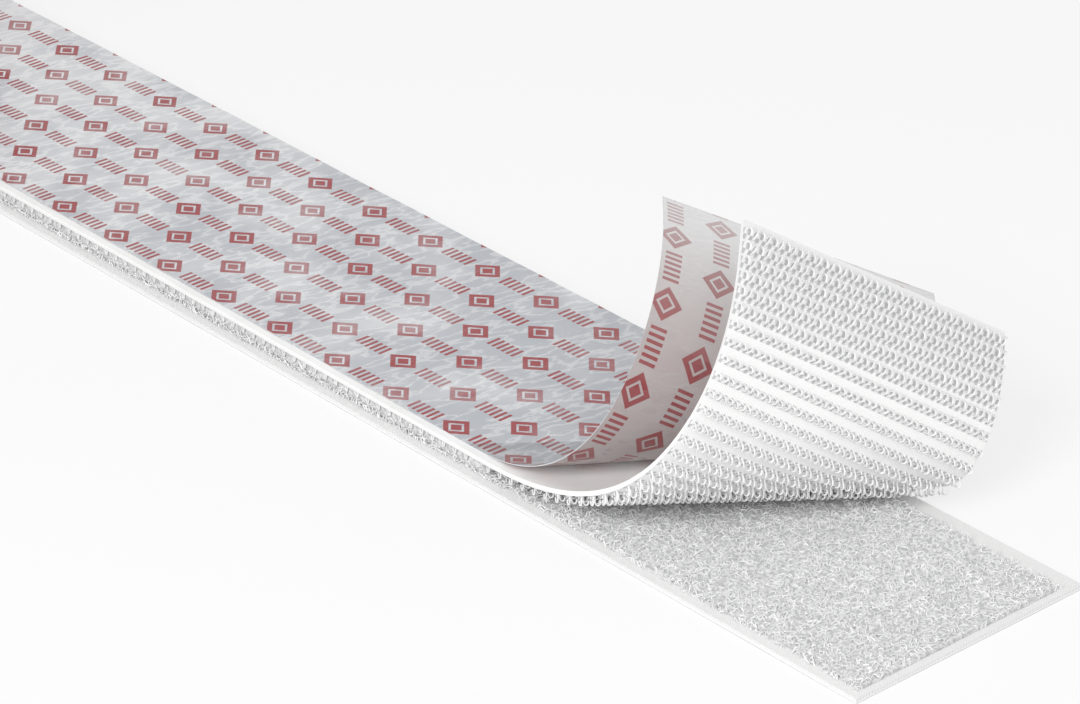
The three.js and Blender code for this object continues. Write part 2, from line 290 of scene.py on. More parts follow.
@dataclass
class StripSurface:
    """The underside of the tape from the core, round the roll and along the table to an end that may slant.

    Rows below 0 are turns back from the table, and rows from 0 to 1 are shares of the flat run.
    """

    sizes: TapeSizes
    end_x: Callable[[Array], Array | float]
    turn_step: float = 4 / 360
    samples: int = 400

    def __post_init__(self) -> None:
        """Measures the winding at its mid thickness."""
        sizes = self.sizes
        self.turns_to_climb = sizes.steps_to_climb / sizes.steps_per_turn
        self.climb_turns = sizes.climb_steps / sizes.steps_per_turn
        self.core_end = sizes.climbs + self.turns_to_climb - sizes.core_end_gap / (TURN * sizes.inner_radius)
        self.turns = np.linspace(0, self.core_end, self.samples)
        self.arc = np.cumsum(self.radius(self.turns) - sizes.stack / 2) * TURN * self.turns[1]
        self.wound_length = float(self.arc[-1])

    def radius(self, turns: Array) -> Array:
        """Outside radius of the tape, which climbs inwards by one pitch in each turn.

        Args:
            turns: Turns back from the table.

        Returns:
            The radii.
        """
        climbed = turns - self.turns_to_climb
        whole = np.floor(climbed)
        pitches = whole + eased((climbed - whole) / self.climb_turns)
        return self.sizes.roll_radius - self.sizes.pitch * np.maximum(0, pitches)

    def rows(self, flat_step: float) -> Array:
        """Rows from the core to the end.

        Args:
            flat_step: Length of a row on the flat run.

        Returns:
            The rows in order.
        """
        wound = np.linspace(-self.core_end, 0, math.ceil(self.core_end / self.turn_step), endpoint=False)
        flat = np.linspace(0, 1, math.ceil(self.sizes.flat_length / flat_step) + 1)
        return np.concatenate([wound, flat])

    def places(self, rows: Array, y: Array) -> Places:
        """Places on the underside of the tape.

        Args:
            rows: Rows, in a shape that broadcasts with y.
            y: Places across the tape.

        Returns:
            The places.
        """
        rows, y = np.broadcast_arrays(rows, y)
        flat, turns, roll_x = rows >= 0, np.maximum(-rows, 0), self.sizes.roll_x
        radius = self.radius(turns)
        sine, cosine, zero = np.sin(TURN * turns), np.cos(TURN * turns), np.zeros_like(turns)
        flat_x = roll_x + np.maximum(rows, 0) * (self.end_x(y) - roll_x)
        x = np.where(flat, flat_x, roll_x - radius * sine)
        z = np.where(flat, 0.0, self.sizes.roll_radius - radius * cosine)
        return Places(
            point=np.stack([x, y, z], -1),
            along=np.stack([cosine, zero, -sine], -1),
            across=np.stack([zero, zero + 1, zero], -1),
            normal=np.stack([sine, zero, cosine], -1),
            u=np.where(flat, flat_x, roll_x - np.interp(turns, self.turns, self.arc)),
            v=y,
        )


@dataclass
class PeeledSurface:
    """The middle face of a sheet that bends up off the strip without stretching.

    It bends about straight rulings, which slant at the lift-off line and stand square at the free end. Rows
    are shares of the free length, and the sheet is flat below 0.
    """

    sizes: PeelSizes
    samples: int = 400
    turn_share: float = 0.9

    def __post_init__(self) -> None:
        """Follows the centreline from the lift-off line to the free end."""
        sizes = self.sizes
        self.shares = np.linspace(0, 1, self.samples + 1)
        self.slopes = self._stations(sizes.lead_shares) * sizes.lead / sizes.width
        step = sizes.length / self.samples
        along, across = np.array([1.0, 0, 0]), np.array([0, 1.0, 0])
        centre = np.array([sizes.lift_x, sizes.centre_y, sizes.z])
        samples = []
        for slope, bend in zip(self.slopes, np.radians(self._stations(sizes.bends))):
            samples.append((centre, along, across))
            turn = bend * math.hypot(1, slope) / self.samples
            axis = unit(across + slope * along)
            # Half of the turn comes before the step and half after it.
            along = turned(along, axis, -turn / 2)
            centre = centre + along * step
            along = turned(along, axis, -turn / 2)
            across = turned(across, axis, -turn)
        self.centres, self.alongs, self.acrosses = (np.array(column) for column in zip(*samples))

    def _stations(self, values: tuple[float, ...]) -> Array:
        """Values given at even stations, mixed at the samples."""
        return np.interp(self.shares, np.linspace(0, 1, len(values)), values)

    def _mixed(self, vectors: Array, rows: Array) -> Array:
        """Vectors of the samples, mixed at the rows."""
        return np.stack([np.interp(rows, self.shares, vectors[:, i]) for i in range(3)], -1)

    def places(self, rows: Array, y: Array) -> Places:
        """Places on the sheet's middle face.

        Args:
            rows: Shares of the free length, in a shape that broadcasts with y.
            y: Places across the tape.

        Returns:
            The places.
        """
        rows, y = np.broadcast_arrays(rows, y)
        w = y - self.sizes.centre_y
        lead = w * np.interp(rows, self.shares, self.slopes)
        along = unit(self._mixed(self.alongs, rows))
        across = unit(self._mixed(self.acrosses, rows))
        forward = lead + np.minimum(rows, 0) * self.sizes.length
        return Places(
            point=self._mixed(self.centres, rows) + across * w[..., None] + along * forward[..., None],
            along=along,
            across=across,
            normal=np.cross(along, across),
            u=self.sizes.lift_x + rows * self.sizes.length + lead,
            v=y,
        )

    def rows_at(self, x: Array, y: float) -> Array:
        """Shares of the free length whose rulings pass through places along one line of the tape.

        Args:
            x: Places along the unbent tape.
            y: Place across it.

        Returns:
            The shares.
        """
        reach = self.sizes.lift_x + self.shares * self.sizes.length + (y - self.sizes.centre_y) * self.slopes
        before = (x - reach[0]) / self.sizes.length
        return np.where(x < reach[0], before, np.interp(x, reach, self.shares))

    def fold_zone(self, index: int) -> tuple[Vector, Vector]:
        """Where the piece round one fold begins and ends to turn, inside the borders of that piece.

        The last piece ends free, and turns on for twice the way before its fold.

        Args:
            index: Number of the fold, from 0 at the lift-off line.

        Returns:
            The first and the last point of the turn.
        """
        sizes = self.sizes
        edges = sizes.centre_y + np.array([-0.5, 0.5]) * sizes.width
        fold = self.places(sizes.cuts[index], sizes.centre_y)
        ends = self.places(sizes.cuts[index], edges).point
        ruling = unit(ends[1] - ends[0])
        onward = unit(fold.along - ruling * (fold.along @ ruling))
        first, last = sizes.borders[index : index + 2]
        before = -((self.places(first, edges).point - fold.point) @ onward).max()
        after = ((self.places(last, edges).point - fold.point) @ onward).min() if last < 1 else 2 * before
        turn = onward * self.turn_share
        return Vector(fold.point - turn * before), Vector(fold.point + turn * after)


@dataclass(frozen=True)
class Band:
    """Cross-section of a thin band: its heights, its edges with their bulge, its columns and its faces.

    Its lift is a height that is added at a tape place.
    """

    low: float
    high: float
    near: float
    far: float
    columns: int = 8
    bulge: float = 0.05 * MM
    faces: Faces = Faces.ALIKE
    lift: Lift | None = None


@dataclass
class MeshDraft:
    """Points, faces and tape places gathered for one mesh."""

    points: list[Array] = field(default_factory=list)
    places: list[Array] = field(default_factory=list)
    faces: list[Array] = field(default_factory=list)
    slots: list[Array] = field(default_factory=list)

    def keep(self, points: Array, places: Array) -> Array:
        """Adds points.

        Args:
            points: The points, in any layout.
            places: Their tape places, in the same layout.

        Returns:
            Their numbers, in the same layout.
        """
        first = sum(len(group) for group in self.points)
        self.points.append(points.reshape(-1, 3))
        self.places.append(places.reshape(-1, 2))
        return first + np.arange(points.size // 3).reshape(points.shape[:-1])

    def join(self, faces: Array, slots: int | Array = 0) -> None:
        """Adds faces with their material slots."""
        self.faces.append(faces)
        self.slots.append(np.broadcast_to(slots, len(faces)))

    def skin(self, grid: Array, slots: int | Array = 0) -> None:
        """Joins rows of closed loops.

        Args:
            grid: Numbers of the points, rows by points of a loop.
            slots: Material slots of the faces round a loop.
        """
        after = np.roll(grid, -1, axis=-1)
        quads = np.stack([grid[..., :-1, :], after[..., :-1, :], after[..., 1:, :], grid[..., 1:, :]], -1)
        self.join(quads.reshape(-1, 4), np.broadcast_to(slots, quads.shape[:-1]).ravel())

    def _cap(self, row: Array, slot: int, last: bool) -> None:
        """Closes one end of a band.

        Args:
            row: Points of the end, round the cross-section.
            slot: Material slot of the end.
            last: True at the last end, which faces on along the rows.
        """
        n = len(row) // 2 - 1
        low, high = row[:n], row[2 * n : n : -1]
        quads = np.stack([low[:-1], high[:-1], high[1:], low[1:]], -1)
        sides = np.array([[low[0], row[-1], high[0]], [low[-1], high[-1], row[n]]])
        for faces in (quads, sides):
            self.join(faces[:, ::-1] if last else faces, slot)

    def sweep(
        self, surface: StripSurface | PeeledSurface, rows: Array, band: Band, first: bool, last: bool
    ) -> None:
        """Adds a band that follows a surface.

        Args:
            surface: What the band follows.
            rows: Rows of the surface, in order.
            band: The cross-section.
            first: Whether the first end is closed.
            last: Whether the last end is closed.
        """
        n, middle = band.columns, (band.low + band.high) / 2
        across = np.linspace(band.near, band.far, n)
        y = np.concatenate([across, [band.far + band.bulge], across[::-1], [band.near - band.bulge]])
        heights = np.concatenate([np.full(n, band.low), [middle], np.full(n, band.high), [middle]])
        places = surface.places(rows[:, None], y[None, :])
        if band.lift is not None:
            heights = heights + band.lift(places.u, places.v)
        points = places.point + places.normal * heights[..., None]
        grid = self.keep(points, np.stack([places.u, places.v], -1))
        low, high, edge = band.faces.value
        self.skin(grid, np.repeat([low, edge, high, edge], [n - 1, 2, n - 1, 2]))
        if first:
            self._cap(grid[0], edge, last=False)
        if last:
            self._cap(grid[-1], edge, last=True)

    def tubes(self, paths: Array, lateral: Array, radius: float, sides: int, tip: float = 1.0) -> None:
        """Adds closed tubes.

        Args:
            paths: Points of each tube, tubes by points by 3.
            lateral: For each tube, a direction that its path never runs along.
            radius: Radius of the tubes.
            sides: Sides of the tubes.
            tip: Radius of the last point as a share of the others.
        """
        tangent = unit(np.gradient(paths, axis=1))
        side = unit(np.cross(np.cross(tangent, lateral[:, None, :]), tangent))
        angles = (TURN * np.arange(sides) / sides)[:, None]
        ring = side[:, :, None] * np.cos(angles) + np.cross(tangent, side)[:, :, None] * np.sin(angles)
        radii = np.full(paths.shape[1], radius)
        radii[-1] *= tip
        points = paths[:, :, None] + ring * radii[:, None, None]
        grid = self.keep(points, np.zeros((*points.shape[:-1], 2)))
        self.skin(grid)
        self.join(grid[:, 0, ::-1])
        self.join(grid[:, -1])

    def to_object(self, name: str, materials: list[Material]) -> Piece:
        """Makes the mesh object.

        Args:
            name: Name of the piece.
            materials: Its materials, in slot order.

        Returns:
            The new object, linked to the scene.
        """
        mesh = bpy.data.meshes.new(name)
        faces = [face for group in self.faces for face in group.tolist()]
        mesh.from_pydata(np.concatenate(self.points).tolist(), [], faces)
        # Tape places belong to points, and the map holds one for each corner of a face.
        corners = np.zeros(len(mesh.loops), np.int32)
        mesh.loops.foreach_get("vertex_index", corners)
        tape_map = mesh.uv_layers.new(name=TAPE_MAP)
        tape_map.data.foreach_set("uv", np.concatenate(self.places)[corners].astype(np.float32).ravel())
        mesh.polygons.foreach_set("material_index", np.concatenate(self.slots).astype(np.int32))
        for material in materials:
            mesh.materials.append(material)
        mesh.shade_smooth()
        mesh.set_sharp_from_angle(angle=SHARP_EDGE)
        return linked(name, mesh)


@dataclass(frozen=True)
class HookShape:
    """One hook: a filament that rises, bends over and points back down, with the cut stub of its other leg.

    Path and stub are in millimetres along the tape and away from the backing. Near the free end of the tape
    the hooks are pulled open.
    """

    sizes: TapeSizes
    columns: int = 42
    edge_margin: float = 0.7 * MM
    row_pitch: float = 2.8 * MM
    end_margin: float = 2.7 * MM
    open_length: float = 20 * MM
    open_run: float = 4 * MM
    openness: float = 1.7
    radius: float = 0.15 * MM
    sides: int = 6
    lean: float = 0.35
    path_tip: float = 0.75
    stub_tip: float = 0.8
    path: tuple[Span, ...] = (
        (-0.45, -0.1), (-0.48, 0.5), (-0.45, 1.0), (-0.34, 1.32), (-0.11, 1.51),
        (0.18, 1.5), (0.38, 1.3), (0.45, 1.0), (0.41, 0.75),
    )
    stub: tuple[Span, ...] = ((0.52, -0.1), (0.5, 0.25), (0.45, 0.5))

    @property
    def open_start(self) -> float:
        """Where the hooks begin to be pulled open."""
        return self.sizes.free_end_x - self.open_length

    @property
    def lines(self) -> Array:
        """Places of the columns across the tape."""
        near, far = self.sizes.hook_near + self.edge_margin, self.sizes.hook_far - self.edge_margin
        return np.linspace(near, far, self.columns)

    @property
    def rows(self) -> Array:
        """Places of the rows along the unbent tape, from the free end back to the roll."""
        return np.arange(self.sizes.free_end_x - self.end_margin, self.sizes.roll_x, -self.row_pitch)

    def add(self, draft: MeshDraft, places: Places, foot: float, column: int) -> None:
        """Adds the hooks of a column. Odd columns bend on along the tape, and even columns back.

        Args:
            draft: The mesh.
            places: Places of the hooks.
            foot: Height of the face that they hang from.
            column: Number of the column.
        """
        heading = 1 + (self.openness - 1) * eased((places.u - self.open_start) / self.open_run)
        heading = heading if column % 2 else -heading
        for path, tip in ((self.path, self.path_tip), (self.stub, self.stub_tip)):
            forward, away = np.array(path).T * MM
            points = places.beside(heading[:, None] * forward, self.lean * forward, foot - away)
            draft.tubes(points, places.across, self.radius, self.sides, tip)


class Value:
    """A number or a colour that changes over a surface, worked out by nodes."""

    def __init__(self, draft: "NodeDraft", link: bpy.types.NodeSocket) -> None:
        """Keeps the nodes and the socket that gives the value."""
        self.draft = draft
        self.link = link

    def __add__(self, other: "Value | float") -> "Value":
        """The sum."""
        return self.draft.math("ADD", self, other)

    def __sub__(self, other: "Value | float") -> "Value":
        """The difference."""
        return self.draft.math("SUBTRACT", self, other)

    def __mul__(self, other: "Value | float") -> "Value":
        """The product."""
        return self.draft.math("MULTIPLY", self, other)

    def __truediv__(self, other: "Value | float") -> "Value":
        """The quotient."""
        return self.draft.math("DIVIDE", self, other)

    def __abs__(self) -> "Value":
        """The value without its sign."""
        return self.draft.math("ABSOLUTE", self)

    def spread(self, low: float, high: float, to_low: float = 0.0, to_high: float = 1.0) -> "Value":
        """The value with one range mapped smoothly to another, and held inside it."""
        sockets = {"Value": self, "From Min": low, "From Max": high, "To Min": to_low, "To Max": to_high}
        return self.draft.value("MapRange", sockets, interpolation_type="SMOOTHSTEP")

    def under(self, low: float, high: float) -> "Value":
        """One under a range, nought over it, and smooth between."""
        return self.spread(low, high, 1.0, 0.0)

    def blend(self, first: "Value | Colour", second: "Value | Colour") -> "Value":
        """The mix of two colours, with this value as the share of the second."""
        return self.draft.value("Mix", {"Factor": self, 6: first, 7: second}, output=2, data_type="RGBA")


Sockets = dict[str | int, Value | Colour | float]


class NodeDraft:
    """Nodes of a material or of the world, added by short calls."""

    def __init__(self, tree: bpy.types.NodeTree) -> None:
        """Goes on from the nodes that are there."""
        self.tree = tree

    def fill(self, node: bpy.types.Node, sockets: Sockets) -> None:
        """Links values to a node, and sets plain numbers and colours on it.

        Args:
            node: The node.
            sockets: What goes into its sockets, by their names or numbers.
        """
        for key, content in sockets.items():
            if isinstance(content, Value):
                self.tree.links.new(content.link, node.inputs[key])
            else:
                plain = (*content, 1.0) if isinstance(content, tuple) else content
                node.inputs[key].default_value = plain

    def value(self, kind: str, sockets: Sockets, output: str | int = 0, **settings: str) -> Value:
        """Adds a node.

        Args:
            kind: Blender's name of the node, without its prefix.
            sockets: What goes into its sockets, by their names or numbers.
            output: Name or number of the output that is used.
            settings: What is set on the node itself.

        Returns:
            That output.
        """
        node = self.tree.nodes.new(f"ShaderNode{kind}")
        for key, setting in settings.items():
            setattr(node, key, setting)
        self.fill(node, sockets)
        return Value(self, node.outputs[output])

    def math(self, operation: str, *values: Value | float) -> Value:
        """The result of an operation, by Blender's name."""
        return self.value("Math", dict(enumerate(values)), operation=operation)

    def white_seen(self) -> Value:
        """One for rays that look, reflect or pass through, and nought for light."""
        rays = [self.value("LightPath", {}, f"Is {kind} Ray") for kind in SEEING_RAYS]
        return self.math("MAXIMUM", self.math("MAXIMUM", rays[0], rays[1]), rays[2])


class MaterialDraft(NodeDraft):
    """One material's nodes round its shader."""

    def __init__(self, name: str) -> None:
        """Starts a material.

        Args:
            name: Its name.
        """
        self.material = bpy.data.materials.new(name)
        self.material.use_nodes = True
        super().__init__(self.material.node_tree)
        self.shader = self.tree.nodes["Principled BSDF"]

    def noise(self, place: Value, scale: float, detail: float = 3.0) -> Value:
        """Noise from 0 to 1 at a place, with so many features a metre."""
        return self.value("TexNoise", {"Vector": place, "Scale": scale, "Detail": detail})

    def shade(self, **values: float | Colour) -> None:
        """Sets plain values on the shader's sockets, with underscores for spaces."""
        self.fill(self.shader, {key.replace("_", " "): value for key, value in values.items()})

    def dress(self, colour: Value, uneven: Value, rough: Span, height: Value, depth: float) -> Material:
        """Links the shader's colour, roughness and relief.

        Args:
            colour: The colour.
            uneven: Noise that the roughness follows.
            rough: Roughness where the noise is low and where it is high.
            height: Relief from 0 to 1.
            depth: What 1 stands for.

        Returns:
            The finished material.
        """
        roughness = uneven.spread(*NOISE_RANGE, *rough)
        relief = self.value("Bump", {"Height": height, "Distance": depth})
        self.fill(self.shader, {"Base Color": colour, "Roughness": roughness, "Normal": relief})
        return self.material


class TapeDraft(MaterialDraft):
    """A material's nodes with the places along and across the unbent tape."""

    def __init__(self, name: str) -> None:
        """Starts a material.

        Args:
            name: Its name.
        """
        super().__init__(name)
        place = self.value("UVMap", {}, uv_map=TAPE_MAP)
        self.u, self.v = (self.value("SeparateXYZ", {"Vector": place}, axis) for axis in "XY")

    def place(self, along: Value, across: Value) -> Value:
        """A place from its two distances."""
        return self.value("CombineXYZ", {"X": along, "Y": across})


@dataclass(frozen=True)
class WovenFinish:
    """White woven nylon tape: fine threads along and across, with painted shade in the gaps between them."""

    name: str = "woven_white"
    thread: Colour = (0.88, 0.88, 0.875)
    # The gap colour is painted shade where the threads dip.
    painted_gap_shade: Colour = (0.79, 0.79, 0.79)
    gap_shade_height: float = 0.45
    warp_pitch: float = 0.62 * MM
    weft_pitch: float = 0.46 * MM
    depth: float = 0.04 * MM
    rough: Span = (0.72, 0.88)
    grime_scale: float = 160.0
    grime_range: Span = (0.2, 0.8)
    thread_height: Span = (0.6, 1.0)
    sheen: float = 0.25
    sheen_roughness: float = 0.5

    def _ground(self, draft: TapeDraft, weave: Value) -> Value:
        """Colour of the ground at a height of the weave, darker low in the weave as painted shade."""
        return weave.spread(0.0, self.gap_shade_height).blend(self.painted_gap_shade, self.thread)

    def make(self) -> Material:
        """Makes the material.

        Returns:
            The material.
        """
        draft = TapeDraft(self.name)
        weft = draft.math("SINE", draft.u * (TURN / self.weft_pitch))
        warp = draft.math("SINE", draft.v * (TURN / self.warp_pitch))
        grime = draft.noise(draft.place(draft.u, draft.v), self.grime_scale)
        height = (weft * warp * 0.5 + 0.5) * grime.spread(*self.grime_range, *self.thread_height)
        draft.shade(Sheen_Weight=self.sheen, Sheen_Roughness=self.sheen_roughness)
        return draft.dress(self._ground(draft, height), grime, self.rough, height, self.depth)


@dataclass(frozen=True, kw_only=True)
class RootedFinish(WovenFinish):
    """Woven tape where the hooks are rooted: in each row the ground between the hooks is painted in deep
    shade.
    """

    name: str = "woven_rooted"
    hooks: HookShape
    shade: Colour = (0.53, 0.53, 0.54)
    half_row: float = 0.72 * MM
    slant: float = 0.6
    stagger: float = 0.25
    row_edge: Span = (0.75, 1.1)
    spot_edge: Span = (0.16, 0.34)

    def _ground(self, draft: TapeDraft, weave: Value) -> Value:
        """Colour of the ground, with two staggered lines of spots of painted shade in each row of hooks.

        Args:
            draft: The material's nodes.
            weave: Height of the weave.

        Returns:
            The colour.
        """
        hooks, lines = self.hooks, self.hooks.lines
        rows = (draft.u - float(hooks.rows[0])) / hooks.row_pitch
        along = rows - draft.math("MINIMUM", draft.math("ROUND", rows), 0.0)
        columns = (draft.v - float(lines[0])) / float(lines[1] - lines[0])
        columns = columns + draft.math("SIGN", along) * self.stagger - along * self.slant
        across = abs(columns - draft.math("ROUND", columns))
        reach, open_end = self.half_row / hooks.row_pitch, hooks.open_start + hooks.open_run
        opened = draft.u.spread(hooks.open_start, open_end, reach, reach * hooks.openness)
        # Painted shade: dark spots between the hooks of each row, longer where the hooks are pulled open.
        shade_spot = (abs(along) / opened).under(*self.row_edge) * across.spread(*self.spot_edge)
        return shade_spot.blend(super()._ground(draft, weave), self.shade)


@dataclass(frozen=True)
class AdhesiveFinish:
    """Milky adhesive coat: smooth, a little uneven and dull."""

    name: str = "adhesive_white"
    milk: Colour = (0.95, 0.95, 0.945)
    clear: Colour = (0.9, 0.9, 0.89)
    milk_edge: Span = (0.35, 0.6)
    rough: Span = (0.5, 0.65)
    shine: float = 0.12
    flow_scale: float = 90.0
    grain_scale: float = 420.0
    depth: float = 0.04 * MM

    def make(self) -> Material:
        """Makes the material.

        Returns:
            The material.
        """
        draft = TapeDraft(self.name)
        place = draft.place(draft.u, draft.v)
        flow = draft.noise(place, self.flow_scale, detail=4.0)
        grain = draft.noise(place, self.grain_scale, detail=2.0)
        draft.shade(Specular_IOR_Level=self.shine)
        colour = flow.spread(*self.milk_edge).blend(self.clear, self.milk)
        return draft.dress(colour, flow, self.rough, grain, self.depth)


@dataclass(frozen=True)
class FilmFinish:
    """Silvery release film with a red print of lozenges and bars, in staggered rows straight along the tape.

    From underneath the print shows through. That face is painted with shade, darker and warmer near the
    lift-off, and with light, paler towards the film's end, where the print fades too. Its creases run at the
    slant that their sine and cosine give.
    """

    side: Side
    opacity: float = 1.0
    silver: Colour = (0.46, 0.48, 0.515)
    # The paler colour is painted glint and glare on the outer face, and a paler tone at random on the edges.
    glint_and_edge_tone: Colour = (0.78, 0.785, 0.795)
    under_shade_warm: Colour = (0.5, 0.44, 0.43)
    under_light_pale: Colour = (0.93, 0.925, 0.92)
    shade_to_light_span: Span = (116 * MM, 151 * MM)
    ink: Colour = (0.31, 0.03, 0.035)
    ink_under: Span = (0.92, 0.5)
    worn_span: Span = (0.42, 0.68)
    ink_worn: Span = (1.0, 0.68)
    unit_length: float = 15.5 * MM
    row_pitch: float = 8.1 * MM
    lozenge_length: float = 3.3 * MM
    lozenge_width: float = 2.9 * MM
    lozenge_edge: Span = (0.97, 1.03)
    ring_at: float = 0.5
    ring_edge: Span = (0.07, 0.11)
    bars_reach: float = 3.6 * MM
    bar_pitch: float = 1.2 * MM
    bar_half_height: float = 1.45 * MM
    bar_edge: Span = (0.24, 0.28)
    blur: float = 0.05 * MM
    crease_slant: Span = (0.2, 0.98)
    crease_stretch: float = 0.4
    crease_scale: float = 330.0
    crease_width: float = 0.06
    crease_height: float = 0.3
    crease_glint: float = 0.5
    cloud_scale: float = 55.0
    glare_fall: float = 1.6
    glare_edge: Span = (0.36, 0.78)
    glare_share: float = 0.75
    gloss: float = 0.15
    gloss_roughness: float = 0.2
    rough: Span = (0.24, 0.46)
    depth: float = 0.1 * MM

    def _within(self, distance: Value, limit: float) -> Value:
        """One inside a limit and nought outside."""
        return distance.under(limit - self.blur, limit)

    def _print(self, draft: TapeDraft) -> Value:
        """The share of ink, with a ringed lozenge in each unit and a group of bars where two units meet.

        Args:
            draft: The material's nodes.

        Returns:
            From 0, bare, to 1, full ink.
        """
        row = draft.v / self.row_pitch
        stagger = draft.math("FLOORED_MODULO", draft.math("FLOOR", row), 2.0) * 0.5
        cell = draft.math("FRACT", draft.u / self.unit_length + stagger)
        along = abs((cell - 0.5) * self.unit_length)
        across = abs((draft.math("FRACT", row) - 0.5) * self.row_pitch)
        lozenge = along / self.lozenge_length + across / self.lozenge_width
        ringed = lozenge.under(*self.lozenge_edge) * abs(lozenge - self.ring_at).spread(*self.ring_edge)
        from_joint = draft.math("SUBTRACT", self.unit_length / 2, along)
        stripe = abs(draft.math("FRACT", from_joint / self.bar_pitch) - 0.5).under(*self.bar_edge)
        group = self._within(across, self.bar_half_height) * self._within(from_joint, self.bars_reach)
        return draft.math("MAXIMUM", ringed, stripe * group)

    def _colour(self, draft: TapeDraft, glint_creases: Value, clouds: Value) -> Value:
        """Colour of the face, with painted glare and glints on the outer face and painted shade and light on
        the under face.

        Args:
            draft: The material's nodes.
            glint_creases: Fine creases.
            clouds: Broad unevenness.

        Returns:
            The colour.
        """
        if self.side is Side.EDGE:
            return clouds.blend(self.silver, self.glint_and_edge_tone)
        if self.side is Side.OUTER:
            # Painted highlight: the outer face is paler along the creases, as glints, and in broad patches
            # of glare that fade along the tape.
            glare = (clouds - draft.u * self.glare_fall).spread(*self.glare_edge) * self.glare_share
            ground = (glint_creases * self.crease_glint + glare).blend(self.silver, self.glint_and_edge_tone)
            wear = clouds.spread(*self.worn_span, *self.ink_worn)
        else:
            # Painted shade and light: the under face runs from dark and warm near the lift-off to pale
            # towards the end, and its print fades with it.
            ground = draft.u.spread(*self.shade_to_light_span).blend(self.under_shade_warm, self.under_light_pale)
            wear = draft.u.spread(*self.shade_to_light_span, *self.ink_under)
        return (self._print(draft) * wear).blend(ground, self.ink)

    def make(self) -> Material:
        """Makes the material.

        Returns:
            The material.
        """
        draft = TapeDraft(f"film_{self.side.value}_{round(100 * self.opacity)}")
        u, v, (sine, cosine) = draft.u, draft.v, self.crease_slant
        crease = draft.place((u * sine + v * cosine) * self.crease_stretch, u * cosine - v * sine)
        folds = draft.noise(crease, self.crease_scale, detail=5.0)
        glint_creases = abs(folds - 0.5).under(0.0, self.crease_width)
        clouds = draft.noise(draft.place(u, v), self.cloud_scale)
        draft.shade(Alpha=self.opacity, Coat_Weight=self.gloss, Coat_Roughness=self.gloss_roughness)
        wrinkles = glint_creases * self.crease_height + folds + clouds
        return draft.dress(self._colour(draft, glint_creases, clouds), folds, self.rough, wrinkles, self.depth)


@dataclass(frozen=True)
class FibreFinish:
    """White nylon fibre, in the pile or in the hooks, with slight changes from place to place."""

    name: str
    light: Colour
    dull: Colour
    rough: Span
    spot_scale: float = 900.0
    spot_edge: Span = (0.35, 0.65)
    grain_per_spot: float = 5.0
    sheen: float = 0.2
    depth: float = 0.02 * MM

    def make(self) -> Material:
        """Makes the material.

        Returns:
            The material.
        """
        draft = MaterialDraft(self.name)
        place = draft.value("TexCoord", {}, "Object")
        spots = draft.noise(place, self.spot_scale, detail=2.0)
        grain = draft.noise(place, self.spot_scale * self.grain_per_spot, detail=2.0)
        draft.shade(Sheen_Weight=self.sheen)
        colour = spots.spread(*self.spot_edge).blend(self.dull, self.light)
        return draft.dress(colour, spots, self.rough, grain, self.depth)


@dataclass(frozen=True)
class CardFinish:
    """Grey-brown card wound from a strip, so that a slanting seam runs round it."""

    name: str = "card"
    light: Colour = (0.47, 0.35, 0.22)
    dark: Colour = (0.30, 0.21, 0.125)
    seam_pitch: float = 46 * MM
    seam_slope: float = 0.29
    seam_width: float = 0.012
    fibre_scale: float = 900.0
    fibre_stretch: float = 0.25
    fibre_height: float = 0.35
    rough: Span = (0.8, 0.95)
    depth: float = 0.12 * MM

    def make(self) -> Material:
        """Makes the material.

        Returns:
            The material.
        """
        draft = TapeDraft(self.name)
        lengthwise = draft.place(draft.u * self.fibre_stretch, draft.v)
        fibres = draft.noise(lengthwise, self.fibre_scale, detail=5.0)
        turn = (draft.v + draft.u * self.seam_slope) / self.seam_pitch
        groove = abs(draft.math("FRACT", turn) - 0.5).spread(0.0, self.seam_width)
        colour = (fibres.spread(*NOISE_RANGE) * groove).blend(self.dark, self.light)
        return draft.dress(colour, fibres, self.rough, groove + fibres * self.fibre_height, self.depth)


class Finishes:
    """The materials of all pieces. A film's set is its outer face, its under face and its edges."""

    LOOSE_OPACITY = 0.74
    PILE_FOOT_SPOTS = 1400.0

    def __init__(self, hooks: HookShape) -> None:
        """Makes each material once.

        Args:
            hooks: Shape and places of the hooks.
        """
        self.woven = WovenFinish().make()
        # Painted shade: the loop half's woven ground is a darker copy of the woven white, toning down the
        # strong light on its edges.
        self.selvedge = WovenFinish("woven_selvedge_shaded", (0.84, 0.84, 0.835), (0.74, 0.74, 0.74)).make()
        self.rooted = RootedFinish(hooks=hooks).make()
        self.adhesive = AdhesiveFinish().make()
        outer, under, edge = (FilmFinish(side).make() for side in Side)
        loose_outer, loose_under = (
            FilmFinish(side, self.LOOSE_OPACITY).make() for side in (Side.OUTER, Side.UNDER)
        )
        self.film_set = [outer, under, edge]
        self.loose_film_set = [loose_outer, loose_under, edge]
        self.pile = FibreFinish("pile_fibre", (0.95, 0.95, 0.95), (0.76, 0.76, 0.765), (0.52, 0.68)).make()
        # Painted shade: the pile's foot and the slab where the halves mesh are dark grey, as the shade deep
        # among loops and hooks.
        self.pile_foot_shade = FibreFinish(
            "pile_foot_shade", (0.76, 0.76, 0.765), (0.5, 0.5, 0.51), (0.82, 0.98), self.PILE_FOOT_SPOTS
        ).make()
        self.hooks = FibreFinish(
            "hook_filament", (0.9, 0.9, 0.895), (0.78, 0.78, 0.785), (0.32, 0.48)
        ).make()
        self.card = CardFinish().make()


@dataclass(frozen=True)
class Layer:
    """One layer of the tape: its piece, the CAD node it stands for, its finish and its cross-section."""

    name: str
    node: str
    slot: Slot
    materials: list[Material]
    band: Band


